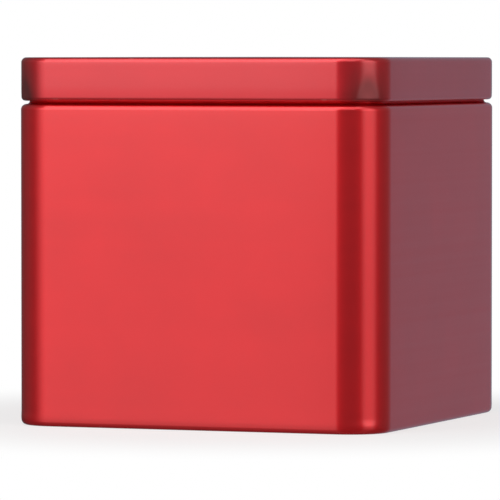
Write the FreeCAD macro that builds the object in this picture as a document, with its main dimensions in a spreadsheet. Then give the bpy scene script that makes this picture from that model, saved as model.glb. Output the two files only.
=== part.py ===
"""An ink pad in a square slip-lid tin, modelled piece by piece in millimetres.

The tin stands on Z = 0, centred on the Z axis, with its plain front towards -Y and the wall's lock seam at
the back. From the outside in: a drawn lid with a rolled hem and a foam liner, a folded and necked wall with
a separate recessed bottom, a moulded pedestal that fills the depth, and on it the lift-out ink tray. The
tray holds a sponge reservoir, a perforated wick plate and a cloth-covered felt pad, held down by a frame
and covered with a clear film.

Every ring and sheet shares one set of corner centres, so that walls nest with an even gap all round: a
rounded square of half width W has the corner radius W - (case_width / 2 - corner_radius).
"""

import FreeCAD, Part
import os
import re

import Sketcher
from FreeCAD import Vector

SIZES = {
    # tin case
    "case_width": 76.0,
    "case_height": 71.4,
    "corner_radius": 8.4,
    "tin_gauge": 0.3,
    # lid
    "lid_depth": 8.45,
    "lid_edge": 1.0,
    "hem_width": 1.5,
    "liner_gauge": 0.6,
    "liner_margin": 2.0,
    # wall: the shoulder under the lid, the neck above it and the rolled rim round the mouth
    "shoulder_height": 62.35,
    "shoulder_radius": 1.1,
    "neck_fillet": 0.6,
    "rim_height": 66.9,
    "rim_width": 1.3,
    # wall: the foot, which turns in, runs flat and stands up as a lip under the bottom panel
    "foot_radius": 1.0,
    "foot_land": 1.9,
    "foot_bend": 0.5,
    "lip_height": 1.9,
    # wall: the lock seam, a band of folded layers inside and a fine groove outside
    "seam_width": 5.0,
    "seam_build": 0.5,
    "seam_groove": 0.4,
    "seam_depth": 0.15,
    # bottom panel, its pressed step and its sealing compound
    "panel_clearance": 0.05,
    "flange_drop": 1.5,
    "step_width": 62.0,
    "step_corner": 6.0,
    "step_rise": 0.6,
    "step_bend": 0.5,
    "seal_width": 2.1,
    "seal_depth": 1.3,
    "label_diameter": 40.0,
    "label_gauge": 0.12,
    # pedestal and the strips of tape under it
    "tape_gauge": 0.6,
    "tape_length": 24.0,
    "tape_width": 4.5,
    "pedestal_width": 67.6,
    "pedestal_wall": 2.4,
    "pedestal_ledge": 6.4,
    "pedestal_floor": 1.6,
    "pedestal_deck": 2.0,
    "window_width": 44.0,
    "window_margin": 7.0,
    "window_corner": 4.0,
    # ink tray
    "rest_gap": 0.1,
    "tray_width": 68.8,
    "tray_wall": 1.8,
    "tray_floor": 1.4,
    "tray_edge": 0.8,
    "flange_width": 72.2,
    "flange_gauge": 0.8,
    # frame that holds the pad down, with pegs in the tray's wall, and how far the pad stands above it
    "frame_gauge": 1.2,
    "frame_edge": 0.5,
    "frame_opening": 63.0,
    "rib_gauge": 0.9,
    "peg_diameter": 1.0,
    "peg_length": 2.0,
    "peg_spread": 18.0,
    "peg_fit": 0.1,
    "pad_rise": 1.0,
    # what soaks up, carries and gives off the ink
    "foam_gap": 0.3,
    "foam_depth": 9.0,
    "plate_gauge": 1.2,
    "hole_diameter": 3.0,
    "hole_pitch": 8.0,
    "holes_in_a_row": 7,
    "felt_width": 61.6,
    "felt_depth": 4.6,
    "cloth_gauge": 0.4,
    "cloth_tuck": 8.0,
    # clear film on the pad
    "film_width": 61.2,
    "film_gauge": 0.2,
    "film_gap": 0.1,
    "tab_width": 10.0,
    "tab_reach": 4.6,
    "tab_corner": 2.0,
}

# Half widths and heights that several pieces share, in terms of the sizes.
HALF = "case_width / 2"
NECK = f"({HALF} - shoulder_radius - neck_fillet)"
LIP = f"({HALF} - foot_radius - foot_land - foot_bend)"
HEM_BASE = "(case_height - lid_depth)"
LINER_BASE = "(case_height - tin_gauge - liner_gauge)"
PANEL_BASE = "(lip_height + panel_clearance)"
PANEL_FLANGE = f"({LIP} + tin_gauge + panel_clearance + tin_gauge + panel_clearance)"
PANEL_TOP = f"({PANEL_BASE} + tin_gauge)"
STEP_TOP = f"({PANEL_TOP} + step_rise)"
STEP_BASE = f"({STEP_TOP} - tin_gauge)"
PEDESTAL_BASE = f"({STEP_TOP} + tape_gauge)"
FLANGE_BASE = "(rim_height + rest_gap)"
FLANGE_TOP = f"({FLANGE_BASE} + flange_gauge)"
FRAME_TOP = f"({FLANGE_TOP} + frame_gauge)"
PAD_TOP = f"({FRAME_TOP} + pad_rise)"
FELT_TOP = f"({PAD_TOP} - cloth_gauge)"
FELT_BASE = f"({FELT_TOP} - felt_depth)"
PLATE_TOP = f"({FELT_BASE} - cloth_gauge)"
PLATE_BASE = f"({PLATE_TOP} - plate_gauge)"
FOAM_BASE = f"({PLATE_BASE} - foam_depth)"
TRAY_BASE = f"({FOAM_BASE} - tray_floor)"
PEDESTAL_TOP = f"({TRAY_BASE} - rest_gap)"
TRAY_INSIDE = "(tray_width / 2 - tray_wall)"
PEG_LINE = "(tray_width / 2 - tray_wall / 2)"
FILM_BASE = f"({PAD_TOP} + film_gap)"

SAME_POINT = 1e-6

doc = FreeCAD.newDocument("ink_pad")
sheet = doc.addObject("Spreadsheet::Sheet", "sizes")


def fill_sheet():
    for row, (alias, value) in enumerate(SIZES.items(), start=1):
        sheet.set(f"A{row}", alias)
        sheet.set(f"B{row}", str(value))
        sheet.setAlias(f"B{row}", alias)
    doc.recompute()


def bound(text):
    """The same expression with every size named as a cell of the sheet."""
    return re.sub(r"[a-z][a-z_]*", lambda word: "sizes." + word.group(0), text)


def value(text):
    return float(doc.Objects[0].evalExpression(bound(text)))


def vector(expressions):
    """A sketch position from a pair of expressions."""
    return Vector(value(expressions[0]), value(expressions[1]), 0)


def nested_radius(half):
    """Corner radius of a rounded square that shares the case's corner centres."""
    return f"{half} - ({HALF} - corner_radius)"


def rounded_square(half, radius=None):
    """Corners (x, y, radius) of a square about the origin, starting halfway up its +X side."""
    radius = radius or nested_radius(half)
    return [
        (half, "0", "0"),
        (half, half, radius),
        (f"-({half})", half, radius),
        (f"-({half})", f"-({half})", radius),
        (half, f"-({half})", radius),
    ]


def rectangle(low_x, low_y, high_x, high_y, radius="0"):
    return [
        (low_x, low_y, radius),
        (high_x, low_y, radius),
        (high_x, high_y, radius),
        (low_x, high_y, radius),
    ]


def new_body(label):
    body = doc.addObject("PartDesign::Body", label)
    body.Label = label
    body.AllowCompound = True
    return body


def pin_point(sketch, geometry, place, x, y):
    """Holds a point of the geometry at (x, y), both expressions."""
    for kind, text in (("DistanceX", x), ("DistanceY", y)):
        index = sketch.addConstraint(Sketcher.Constraint(kind, -1, 1, geometry, place, value(text)))
        sketch.setExpression(f"Constraints[{index}]", bound(text))


def add_circle(sketch, x, y, diameter):
    circle = Part.Circle(Vector(value(x), value(y), 0), Vector(0, 0, 1), value(diameter) / 2)
    geometry = sketch.addGeometry(circle, False)
    pin_point(sketch, geometry, 3, x, y)
    index = sketch.addConstraint(Sketcher.Constraint("Diameter", geometry, value(diameter)))
    sketch.setExpression(f"Constraints[{index}]", bound(diameter))


def runs_and_arcs(corners):
    """The straight runs and quarter arcs of a closed loop, as (start, end, radius, corner).

    A run has no radius. Runs follow the axes wherever a corner is rounded, so an arc starts and ends one
    radius away from its corner.
    """
    stations = []
    for i, (x, y, radius) in enumerate(corners):
        if value(radius) == 0:
            stations.append(((x, y), (x, y), None, None))
            continue
        ends = []
        for neighbour in (corners[i - 1], corners[(i + 1) % len(corners)]):
            step = vector(neighbour[:2]) - vector((x, y))
            if abs(step.x) > abs(step.y):
                ends.append((f"{x} {'+' if step.x > 0 else '-'} ({radius})", y))
            else:
                ends.append((x, f"{y} {'+' if step.y > 0 else '-'} ({radius})"))
        stations.append((ends[0], ends[1], radius, (x, y)))
    pieces = []
    for i, (start, end, radius, corner) in enumerate(stations):
        if radius:
            pieces.append((start, end, radius, corner))
        following = stations[(i + 1) % len(stations)][0]
        if (vector(end) - vector(following)).Length > SAME_POINT:
            pieces.append((end, following, None, None))
    return pieces


def add_loop(sketch, corners):
    """Draws a closed loop through (x, y, radius) corners, its points and radii bound to the sheet."""
    ends = []
    for start, end, radius, corner in runs_and_arcs(corners):
        a, b = vector(start), vector(end)
        if radius is None:
            geometry = sketch.addGeometry(Part.LineSegment(a, b), False)
        else:
            centre = a + b - vector(corner)
            middle = centre + (vector(corner) - centre).normalize() * value(radius)
            geometry = sketch.addGeometry(Part.Arc(a, middle, b), False)
            index = sketch.addConstraint(Sketcher.Constraint("Radius", geometry, value(radius)))
            sketch.setExpression(f"Constraints[{index}]", bound(radius))
        first = 1 if (sketch.getPoint(geometry, 1) - a).Length < SAME_POINT else 2
        pin_point(sketch, geometry, first, *start)
        ends.append((geometry, first, 3 - first))
    for i, (geometry, first, _) in enumerate(ends):
        before, _, last = ends[i - 1]
        sketch.addConstraint(Sketcher.Constraint("Coincident", before, last, geometry, first))


def new_sketch(body, name, plane, loops, offset="0"):
    """A sketch on one of the body's own origin planes, moved along the plane's normal by offset."""
    sketch = body.newObject("Sketcher::SketchObject", f"{body.Label}_{name}")
    origin_plane = next(o for o in body.Origin.OriginFeatures if o.Role == plane)
    sketch.AttachmentSupport = [(origin_plane, "")]
    sketch.MapMode = "FlatFace"
    sketch.setExpression("AttachmentOffset.Base.z", bound(offset))
    for loop in loops:
        if len(loop) == 3 and isinstance(loop[0], str):
            add_circle(sketch, *loop)
        else:
            add_loop(sketch, loop)
    return sketch


def pad(body, name, loops, base, depth):
    """Adds the loops, drawn on XY at height base, as a plate that is depth thick."""
    sketch = new_sketch(body, name + "_outline", "XY_Plane", loops, base)
    feature = body.newObject("PartDesign::Pad", f"{body.Label}_{name}")
    feature.Profile = sketch
    feature.setExpression("Length", bound(depth))
    doc.recompute()
    return feature


def cut(body, name, loops, top, depth, plane="XY_Plane", both_ways=False):
    """Cuts the loops out of the body, from height top downwards, or both ways from an upright plane."""
    before = body.Shape.Volume
    sketch = new_sketch(body, name + "_outline", plane, loops, top)
    feature = body.newObject("PartDesign::Pocket", f"{body.Label}_{name}")
    feature.Profile = sketch
    feature.Midplane = both_ways
    feature.setExpression("Length", bound(depth))
    doc.recompute()
    if not body.Shape.Volume < before:
        raise RuntimeError(f"{body.Label}: {name} removed nothing")
    return feature


def sweep(body, name, half, profile, radius=None):
    """Carries a profile, drawn on XZ, round the rounded square of that half width."""
    path = new_sketch(body, name + "_path", "XY_Plane", [rounded_square(half, radius)])
    section = new_sketch(body, name + "_section", "XZ_Plane", [profile])
    feature = body.newObject("PartDesign::AdditivePipe", f"{body.Label}_{name}")
    feature.Profile = (section, [""])
    feature.Spine = (path, [])
    doc.recompute()
    return feature


def build_lid_shell():
    """Lid pressed from one sheet: flat top, soft edge, straight skirt and a hem rolled inwards."""
    body = new_body("lid_shell")
    inside = f"{HALF} - tin_gauge"
    top, under = "case_height", "case_height - tin_gauge"
    roll_inside = "hem_width / 2 - tin_gauge"
    roll_end = f"{HALF} - hem_width / 2"
    top_edge = f"{HALF} - lid_edge"
    hem_top = f"{HEM_BASE} + hem_width"
    sweep(body, "skirt", HALF, [
        (top_edge, under, "0"),
        (inside, under, "lid_edge - tin_gauge"),
        (inside, f"{HEM_BASE} + tin_gauge", roll_inside),
        (f"{HALF} - hem_width + tin_gauge", f"{HEM_BASE} + tin_gauge", roll_inside),
        (f"{HALF} - hem_width + tin_gauge", f"{hem_top} - tin_gauge", roll_inside),
        (roll_end, f"{hem_top} - tin_gauge", "0"),
        (roll_end, hem_top, "0"),
        (f"{HALF} - hem_width", hem_top, "hem_width / 2"),
        (f"{HALF} - hem_width", HEM_BASE, "hem_width / 2"),
        (HALF, HEM_BASE, "hem_width / 2"),
        (HALF, top, "lid_edge"),
        (top_edge, top, "0"),
    ])
    pad(body, "top", [rounded_square(f"({top_edge})")], under, "tin_gauge")
    return body


def build_lid_liner():
    """Closed-cell foam sheet glued inside the lid, which keeps the ink from drying."""
    body = new_body("lid_liner")
    pad(body, "sheet", [rounded_square(f"({HALF} - liner_margin)")], LINER_BASE, "liner_gauge")
    return body


def build_tin_wall():
    """Wall folded from one sheet: rolled rim, neck, shoulder, straight side, and a foot turned in and up."""
    body = new_body("tin_wall")
    inside = f"{HALF} - tin_gauge"
    neck_inside = f"{NECK} - tin_gauge"
    rim_inside = "rim_width / 2 - tin_gauge"
    rim_base = "rim_height - rim_width"
    roll_end = f"{NECK} - rim_width / 2"
    under_shoulder = "shoulder_height - tin_gauge"
    sweep(body, "sheet", HALF, [
        (HALF, "shoulder_height", "shoulder_radius"),
        (NECK, "shoulder_height", "neck_fillet"),
        (NECK, "rim_height", "rim_width / 2"),
        (f"{NECK} - rim_width", "rim_height", "rim_width / 2"),
        (f"{NECK} - rim_width", rim_base, "rim_width / 2"),
        (roll_end, rim_base, "0"),
        (roll_end, f"{rim_base} + tin_gauge", "0"),
        (f"{NECK} - rim_width + tin_gauge", f"{rim_base} + tin_gauge", rim_inside),
        (f"{NECK} - rim_width + tin_gauge", "rim_height - tin_gauge", rim_inside),
        (neck_inside, "rim_height - tin_gauge", rim_inside),
        (neck_inside, under_shoulder, "neck_fillet + tin_gauge"),
        (inside, under_shoulder, "shoulder_radius - tin_gauge"),
        (inside, "tin_gauge", "foot_radius - tin_gauge"),
        (f"{LIP} + tin_gauge", "tin_gauge", "foot_bend - tin_gauge"),
        (f"{LIP} + tin_gauge", "lip_height", "0"),
        (LIP, "lip_height", "0"),
        (LIP, "0", "foot_bend"),
        (HALF, "0", "foot_radius"),
    ])
    seam_top = "(shoulder_height - shoulder_radius)"
    band_face, band_root = f"{inside} - seam_build", f"{inside} + tin_gauge / 2"
    band = rectangle("-seam_width / 2", band_face, "seam_width / 2", band_root)
    pad(body, "seam_band", [band], "foot_radius + tin_gauge", f"{seam_top} - foot_radius - 2 * tin_gauge")
    groove = [
        ("-seam_groove / 2", HALF, "0"),
        ("0", f"{HALF} - seam_depth", "0"),
        ("seam_groove / 2", HALF, "0"),
    ]
    cut(body, "seam_line", [groove], seam_top, f"{seam_top} - foot_radius")
    return body


def build_bottom_panel():
    """Pressed bottom, recessed above the foot: its flange hooks over the lip and its middle is raised."""
    body = new_body("bottom_panel")
    flange_inside = f"{PANEL_FLANGE} - tin_gauge"
    sweep(body, "flange", PANEL_FLANGE, [
        (f"{PANEL_FLANGE} - 2 * tin_gauge", PANEL_BASE, "0"),
        (flange_inside, PANEL_BASE, "0"),
        (flange_inside, f"{PANEL_TOP} - flange_drop", "0"),
        (PANEL_FLANGE, f"{PANEL_TOP} - flange_drop", "0"),
        (PANEL_FLANGE, PANEL_TOP, "tin_gauge"),
        (f"{PANEL_FLANGE} - 2 * tin_gauge", PANEL_TOP, "0"),
    ])
    step = "(step_width / 2)"
    rim_of_step = f"({step} + step_bend)"
    margin = [
        rounded_square(f"({PANEL_FLANGE} - 2 * tin_gauge)"),
        rounded_square(rim_of_step, "step_corner + step_bend"),
    ]
    pad(body, "margin", margin, PANEL_BASE, "tin_gauge")
    inner_bend = f"({step} - step_bend)"
    sweep(body, "step", step, [
        (rim_of_step, PANEL_BASE, "0"),
        (rim_of_step, PANEL_TOP, "0"),
        (inner_bend, STEP_TOP, "0"),
        (inner_bend, STEP_BASE, "0"),
    ], "step_corner")
    pad(body, "middle", [rounded_square(inner_bend, "step_corner - step_bend")], STEP_BASE, "tin_gauge")
    return body


def build_bottom_seal():
    """Ring of sealing compound in the channel between the wall's foot and the panel's flange."""
    body = new_body("bottom_seal")
    inside = f"({PANEL_FLANGE} + panel_clearance)"
    low = "(tin_gauge + panel_clearance)"
    sweep(body, "ring", inside, [
        (inside, low, "0"),
        (f"{inside} + seal_width / 2", low, "0"),
        (f"{inside} + seal_width", f"{low} + seal_width / 2", "0"),
        (f"{inside} + seal_width", f"{low} + seal_depth", "0"),
        (inside, f"{low} + seal_depth", "0"),
    ])
    return body


def build_base_label():
    """Plain round paper label under the bottom panel."""
    body = new_body("base_label")
    pad(body, "disc", [("0", "0", "label_diameter")], f"{STEP_BASE} - label_gauge", "label_gauge")
    return body


def build_pedestal():
    """Open moulded stand that carries the tray: four corner posts between a foot flange and a deck."""
    body = new_body("pedestal")
    half = "(pedestal_width / 2)"
    inside = f"({half} - pedestal_wall)"
    well = f"({inside} - pedestal_ledge)"
    height = f"({PEDESTAL_TOP} - {PEDESTAL_BASE})"
    pad(body, "tube", [rounded_square(half), rounded_square(inside)], PEDESTAL_BASE, height)
    ledge = [rounded_square(f"({half} - pedestal_wall / 2)"), rounded_square(well, "window_corner")]
    pad(body, "foot_flange", ledge, PEDESTAL_BASE, "pedestal_floor")
    pad(body, "deck", ledge, f"{PEDESTAL_TOP} - pedestal_deck", "pedestal_deck")
    window = rectangle(
        "-window_width / 2", f"{PEDESTAL_BASE} + window_margin",
        "window_width / 2", f"{PEDESTAL_TOP} - window_margin", "window_corner")
    cut(body, "front_and_back_windows", [window], "0", "case_width", "XZ_Plane", both_ways=True)
    cut(body, "side_windows", [window], "0", "case_width", "YZ_Plane", both_ways=True)
    return body


def build_pedestal_tape():
    """Four strips of double-sided foam tape between the pedestal's foot flange and the bottom panel."""
    body = new_body("pedestal_tape")
    far = "(step_width / 2 - 2 * step_bend)"
    near = f"({far} - tape_width)"
    strips = []
    for sign in ("", "-"):
        strips.append(rectangle("-tape_length / 2", sign + near, "tape_length / 2", sign + far))
        strips.append(rectangle(sign + near, "-tape_length / 2", sign + far, "tape_length / 2"))
    pad(body, "strips", strips, STEP_TOP, "tape_gauge")
    return body


def peg_circles(diameter):
    """Two pegs on each side of the square, on the middle of the tray's wall."""
    circles = []
    for along in ("peg_spread", "-peg_spread"):
        for across in (PEG_LINE, "-" + PEG_LINE):
            circles.append((across, along, diameter))
            circles.append((along, across, diameter))
    return circles


def build_ink_tray():
    """Leakproof moulded tray, which lifts out: its flange sits over the tin's rolled rim."""
    body = new_body("ink_tray")
    outside = "(tray_width / 2)"
    flange = "(flange_width / 2)"
    sweep(body, "wall", outside, [
        (TRAY_INSIDE, TRAY_BASE, "0"),
        (outside, TRAY_BASE, "tray_edge"),
        (outside, FLANGE_BASE, "0"),
        (flange, FLANGE_BASE, "0"),
        (flange, FLANGE_TOP, "0"),
        (TRAY_INSIDE, FLANGE_TOP, "0"),
    ])
    pad(body, "floor", [rounded_square(TRAY_INSIDE)], TRAY_BASE, "tray_floor")
    holes = peg_circles("peg_diameter + peg_fit")
    cut(body, "peg_holes", holes, FLANGE_TOP, "peg_length + peg_fit")
    return body


def build_reservoir_foam():
    """Open-cell sponge that stores the ink on the floor of the tray."""
    body = new_body("reservoir_foam")
    pad(body, "block", [rounded_square(f"({TRAY_INSIDE} - foam_gap)")], FOAM_BASE, "foam_depth")
    return body


def build_wick_plate():
    """Stiff plate on the sponge, pierced so that ink rises through it to the felt."""
    body = new_body("wick_plate")
    pad(body, "plate", [rounded_square(f"({TRAY_INSIDE} - foam_gap)")], PLATE_BASE, "plate_gauge")
    reach = "(hole_pitch * (holes_in_a_row - 1) / 2)"
    count = SIZES["holes_in_a_row"]
    row = [(f"{i} * hole_pitch - {reach}", f"-{reach}", "hole_diameter") for i in range(count)]
    first_row = cut(body, "hole_row", row, PLATE_TOP, "plate_gauge")
    rows = body.newObject("PartDesign::LinearPattern", "wick_plate_hole_rows")
    rows.Originals = [first_row]
    y_axis = next(o for o in body.Origin.OriginFeatures if o.Role == "Y_Axis")
    rows.Direction = (y_axis, [""])
    rows.setExpression("Length", bound(f"2 * {reach}"))
    rows.setExpression("Occurrences", bound("holes_in_a_row"))
    body.Tip = rows
    doc.recompute()
    return body


def build_felt_pad():
    """Dense wool felt that gives the pad its height and its even surface."""
    body = new_body("felt_pad")
    pad(body, "block", [rounded_square("(felt_width / 2)")], FELT_BASE, "felt_depth")
    return body


def build_pad_cloth():
    """Woven cloth wrapped over the felt, down its sides and tucked under it."""
    body = new_body("pad_cloth")
    inside = "(felt_width / 2)"
    outside = f"({inside} + cloth_gauge)"
    pad(body, "face", [rounded_square(outside)], FELT_TOP, "cloth_gauge")
    sides = [rounded_square(outside), rounded_square(inside)]
    pad(body, "sides", sides, PLATE_TOP, "felt_depth + cloth_gauge")
    tuck = [rounded_square(outside), rounded_square(f"({inside} - cloth_tuck)", "window_corner")]
    pad(body, "tuck", tuck, PLATE_TOP, "cloth_gauge")
    return body


def build_tray_frame():
    """Frame round the pad: it caps the tray's flange, and its rib holds the wick plate down."""
    body = new_body("tray_frame")
    outside = "(flange_width / 2)"
    opening = "(frame_opening / 2)"
    rib = f"({opening} + rib_gauge)"
    sweep(body, "ring", outside, [
        (outside, FLANGE_TOP, "0"),
        (outside, FRAME_TOP, "frame_edge"),
        (opening, FRAME_TOP, "frame_edge"),
        (opening, f"{PLATE_TOP} + rest_gap", "0"),
        (rib, f"{PLATE_TOP} + rest_gap", "0"),
        (rib, FLANGE_TOP, "0"),
    ])
    peg_base = f"{FLANGE_TOP} - peg_length"
    pad(body, "pegs", peg_circles("peg_diameter"), peg_base, "peg_length + frame_gauge / 2")
    return body


def build_cover_film():
    """Clear film laid on the inked cloth, with a tab over the frame to lift it by."""
    body = new_body("cover_film")
    half = "(film_width / 2)"
    pad(body, "sheet", [rounded_square(half)], FILM_BASE, "film_gauge")
    free_end, root = f"-{half} - tab_reach", f"-{half} + tab_reach"
    tab = rectangle("-tab_width / 2", free_end, "tab_width / 2", root, "tab_corner")
    pad(body, "tab", [tab], FILM_BASE, "film_gauge")
    return body


def check(body):
    """Stops the build on a failed feature or a shape that isn't whole."""
    shape = body.Shape
    if shape.isNull() or not shape.isValid() or not shape.Solids:
        raise RuntimeError(f"{body.Label} has no valid solid")
    if min(solid.Volume for solid in shape.Solids) <= 0:
        raise RuntimeError(f"{body.Label} has an inside-out solid")


def main():
    fill_sheet()
    builders = (
        build_tin_wall, build_bottom_panel, build_bottom_seal, build_base_label, build_pedestal,
        build_pedestal_tape, build_ink_tray, build_reservoir_foam, build_wick_plate, build_felt_pad,
        build_pad_cloth, build_tray_frame, build_cover_film, build_lid_shell, build_lid_liner,
    )
    bodies = [build() for build in builders]
    doc.recompute()
    failed = [o.Name for o in doc.Objects if {"Invalid", "Error"} & set(o.State)]
    if failed:
        raise RuntimeError(f"these objects failed: {failed}")
    os.makedirs("parts", exist_ok=True)
    for body in bodies:
        check(body)
        body.Shape.exportStep(f"parts/{body.Label}.step")
        box = body.Shape.BoundBox
        print(f"{body.Label:16s} solids {len(body.Shape.Solids)}  volume {body.Shape.Volume:10.2f} mm3  "
              f"z {box.ZMin:6.2f} to {box.ZMax:6.2f}  width {box.XLength:6.2f} x {box.YLength:6.2f}")


main()
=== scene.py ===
"""An ink pad in a red lacquered slip-lid tin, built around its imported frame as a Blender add-on.

The tin's wall and lid are bent up from single sheets of tinplate, lacquered outside and bare
inside. The pad is a cloth stretched over felt, in a black tray above a sponge. Everything is in
metres in the frame's own axes: +Z is up and out through the lid, and -Y is the plain front.
"""

import math

import bmesh
import bpy
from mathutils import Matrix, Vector, noise


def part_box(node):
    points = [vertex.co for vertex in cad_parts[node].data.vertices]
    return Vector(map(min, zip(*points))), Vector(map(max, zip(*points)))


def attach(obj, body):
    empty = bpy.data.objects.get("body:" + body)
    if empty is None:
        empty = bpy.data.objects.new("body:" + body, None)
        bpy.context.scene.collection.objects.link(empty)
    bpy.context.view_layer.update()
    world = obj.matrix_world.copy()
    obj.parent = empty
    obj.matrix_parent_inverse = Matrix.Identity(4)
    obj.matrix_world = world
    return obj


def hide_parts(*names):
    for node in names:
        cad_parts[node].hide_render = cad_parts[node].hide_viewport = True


bl_info = {
    "name": "Ink Pad Tin",
    "version": (1, 0, 0),
    "blender": (4, 5, 0),
    "location": "View3D > Sidebar > Ink Pad",
    "description": "Builds an ink pad in a lacquered tin, piece by piece",
    "category": "Add Mesh",
}

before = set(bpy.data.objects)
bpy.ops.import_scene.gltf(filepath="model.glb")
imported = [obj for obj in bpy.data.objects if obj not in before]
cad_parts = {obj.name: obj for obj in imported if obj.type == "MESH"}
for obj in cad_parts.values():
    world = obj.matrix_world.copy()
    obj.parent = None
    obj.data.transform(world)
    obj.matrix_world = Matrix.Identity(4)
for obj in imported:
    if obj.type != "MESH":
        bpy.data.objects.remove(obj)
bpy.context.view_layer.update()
MM = 0.001
TINY = 1e-7  # a length below this is nothing
SNAP = 1e-5  # points closer than this are one
CORNER_STEPS = 18  # facets round an upright corner
SIDE_STEPS = 10  # facets along a side
ROLL_STEPS = 24  # facets round a rolled edge


def mm(name, description, default):
    """A length property whose default is given in millimetres."""
    return bpy.props.FloatProperty(name=name, description=description, default=default * MM,
                                   unit="LENGTH", precision=5)


def colour(name, description, default):
    """A colour property of linear red, green and blue."""
    return bpy.props.FloatVectorProperty(name=name, description=description, default=default,
                                         size=3, subtype="COLOR", min=0, max=1)


def number(name, description, default):
    """A plain number."""
    return bpy.props.FloatProperty(name=name, description=description, default=default)


def degrees(name, description, default):
    """An angle whose default is given in degrees."""
    return bpy.props.FloatProperty(name=name, description=description,
                                   default=math.radians(default), subtype="ANGLE")


class InkPadSizes(bpy.types.PropertyGroup):
    """Sizes that the frame's boxes don't give."""

    gauge: mm("Gauge", "Thickness of the tinplate", 0.3)
    corner: mm("Corner radius", "Plan radius of the case's upright corners", 8.4)
    lid_edge: mm("Lid edge", "Radius round the top of the lid", 1.0)
    hem: mm("Hem", "Width of the roll at the lid's open edge", 1.5)
    rim: mm("Rim", "Width of the roll at the tin's mouth", 1.3)
    shoulder_level: mm("Shoulder level", "Height of the shoulder under the lid", 62.35)
    shoulder: mm("Shoulder", "Radius of the shoulder", 1.1)
    neck_fillet: mm("Neck fillet", "Radius at the foot of the neck", 0.6)
    foot: mm("Foot", "Radius between the wall and the foot", 1.0)
    land: mm("Land", "Width of the flat ring that the tin stands on", 1.9)
    foot_bend: mm("Foot bend", "Radius where the foot turns up", 0.5)
    lip: mm("Lip", "Height of the turned-up lip inside the foot", 1.9)
    seam: mm("Lock seam", "Width of the folded seam inside the wall", 5)
    seam_build: mm("Seam thickness", "Thickness of the folded layers", 0.5)
    seam_groove: mm("Seam groove", "Width of the groove outside the seam", 0.4)
    seam_depth: mm("Seam depth", "Depth of the groove outside the seam", 0.15)
    lid_crown: mm("Lid crown", "How far the middle of the lid stands up", 0.08)
    draw_in: mm("Draw-in", "How far the lid's corners are pulled in at the hem", 0.3)
    draw_height: mm("Draw-in height", "Height of the pulled-in arch on the lid's corners", 4.8)
    wall_relax: mm("Wall springback", "How far the wall's sides fall away before the corners", 0.03)
    lid_relax: mm("Lid springback", "How far the lid's sides fall away before the corners", 0.06)
    relax_reach: mm("Springback reach", "Length over which the sides fall away", 6)
    hem_lean: mm("Hem lean", "How far the lid's sides are pulled in by the roll of the hem", 0.035)
    hem_lean_reach: mm("Hem lean reach", "Height over which the lid's sides lean in", 2)
    foot_lean: mm("Foot lean", "How far the wall's sides are pulled in by the foot's turn", 0.045)
    foot_lean_reach: mm("Foot lean reach", "Height over which the wall's sides lean in", 1.0)
    bulge: mm("Foot bulge", "How far the wall's corners stand out above the foot", 0.13)
    bulge_level: mm("Bulge level", "Height of the foot bulge", 1.5)
    bulge_reach: mm("Bulge reach", "Height over which the foot bulge dies away", 0.8)
    ripple: mm("Ripple", "Unevenness of the wall's flat sides", 0.035)
    cloth_gauge: mm("Cloth", "Thickness of the pad's cloth", 0.36)
    thread: mm("Thread pitch", "Distance between threads of the pad's cloth", 0.42)
    tuck: mm("Tuck", "Width of cloth folded under the felt", 8)
    film_gauge: mm("Film", "Thickness of the clear film", 0.14)


class InkPadColours(bpy.types.PropertyGroup):
    """Base colours of the finishes."""

    lacquer: colour("Lacquer", "Metallic red lacquer over tinplate", (0.92, 0.01, 0.017))
    # painted shade: the lid's lacquer is the wall's lacquer made darker, standing in for the dimmer
    # reflection on the lid
    shaded_lid_lacquer: colour("Lid lacquer", "The lid's lacquer, duller from handling",
                        (0.82, 0.018, 0.029))
    tinplate: colour("Tinplate", "Bare tinplate", (0.74, 0.73, 0.71))
    ink: colour("Ink", "Red ink on cloth, felt and sponge", (0.42, 0.006, 0.012))
    ink_dark: colour("Deep ink", "Red ink where it has pooled", (0.16, 0.002, 0.006))
    tray: colour("Tray", "Black tray and frame", (0.022, 0.022, 0.025))
    pedestal: colour("Pedestal", "Dark grey pedestal", (0.075, 0.077, 0.082))
    wick: colour("Wick plate", "Natural plastic of the wick plate", (0.62, 0.58, 0.52))
    compound: colour("Compound", "Sealing compound", (0.36, 0.37, 0.36))
    paper: colour("Paper", "Base label", (0.84, 0.81, 0.75))
    foam: colour("Foam", "Liner and tape foam", (0.83, 0.82, 0.79))
    film: colour("Film", "Clear film", (0.93, 0.95, 0.96))


class InkPadStudio(bpy.types.PropertyGroup):
    """Camera and light."""

    azimuth: degrees("Azimuth", "Direction of the camera from the front towards the right", 20.97)
    distance: bpy.props.FloatProperty(name="Distance", description="Camera to the tin's axis",
                                      default=1.012, unit="LENGTH")
    height: mm("Height", "Camera above the floor", 71.49)
    yaw: degrees("Yaw", "Turn of the camera about the upright axis", 21.088)
    pitch: degrees("Pitch", "Tilt of the camera below the horizon", 2.163)
    lens: bpy.props.FloatProperty(name="Lens", description="Focal length", default=368.32,
                                  unit="CAMERA")
    top_light: number("Top light", "Power of the overhead soft light in watts", 2.8)
    surround: number("Surround", "Strength of the studio's soft surround", 1)


# ---------------------------------------------------------------- shader helpers


def add_node(tree, kind, **settings):
    made = tree.nodes.new(kind)
    for key, value in settings.items():
        setattr(made, key, value)
    return made


def plug(tree, value, socket):
    """Links a socket to a socket, or sets a plain value on it."""
    if isinstance(value, bpy.types.NodeSocket):
        tree.links.new(value, socket)
    else:
        socket.default_value = value


def maths(tree, operation, a, b=0.0, c=0.0, clamp=False):
    made = add_node(tree, "ShaderNodeMath", operation=operation, use_clamp=clamp)
    for value, socket in zip((a, b, c), made.inputs):
        plug(tree, value, socket)
    return made.outputs[0]


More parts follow.
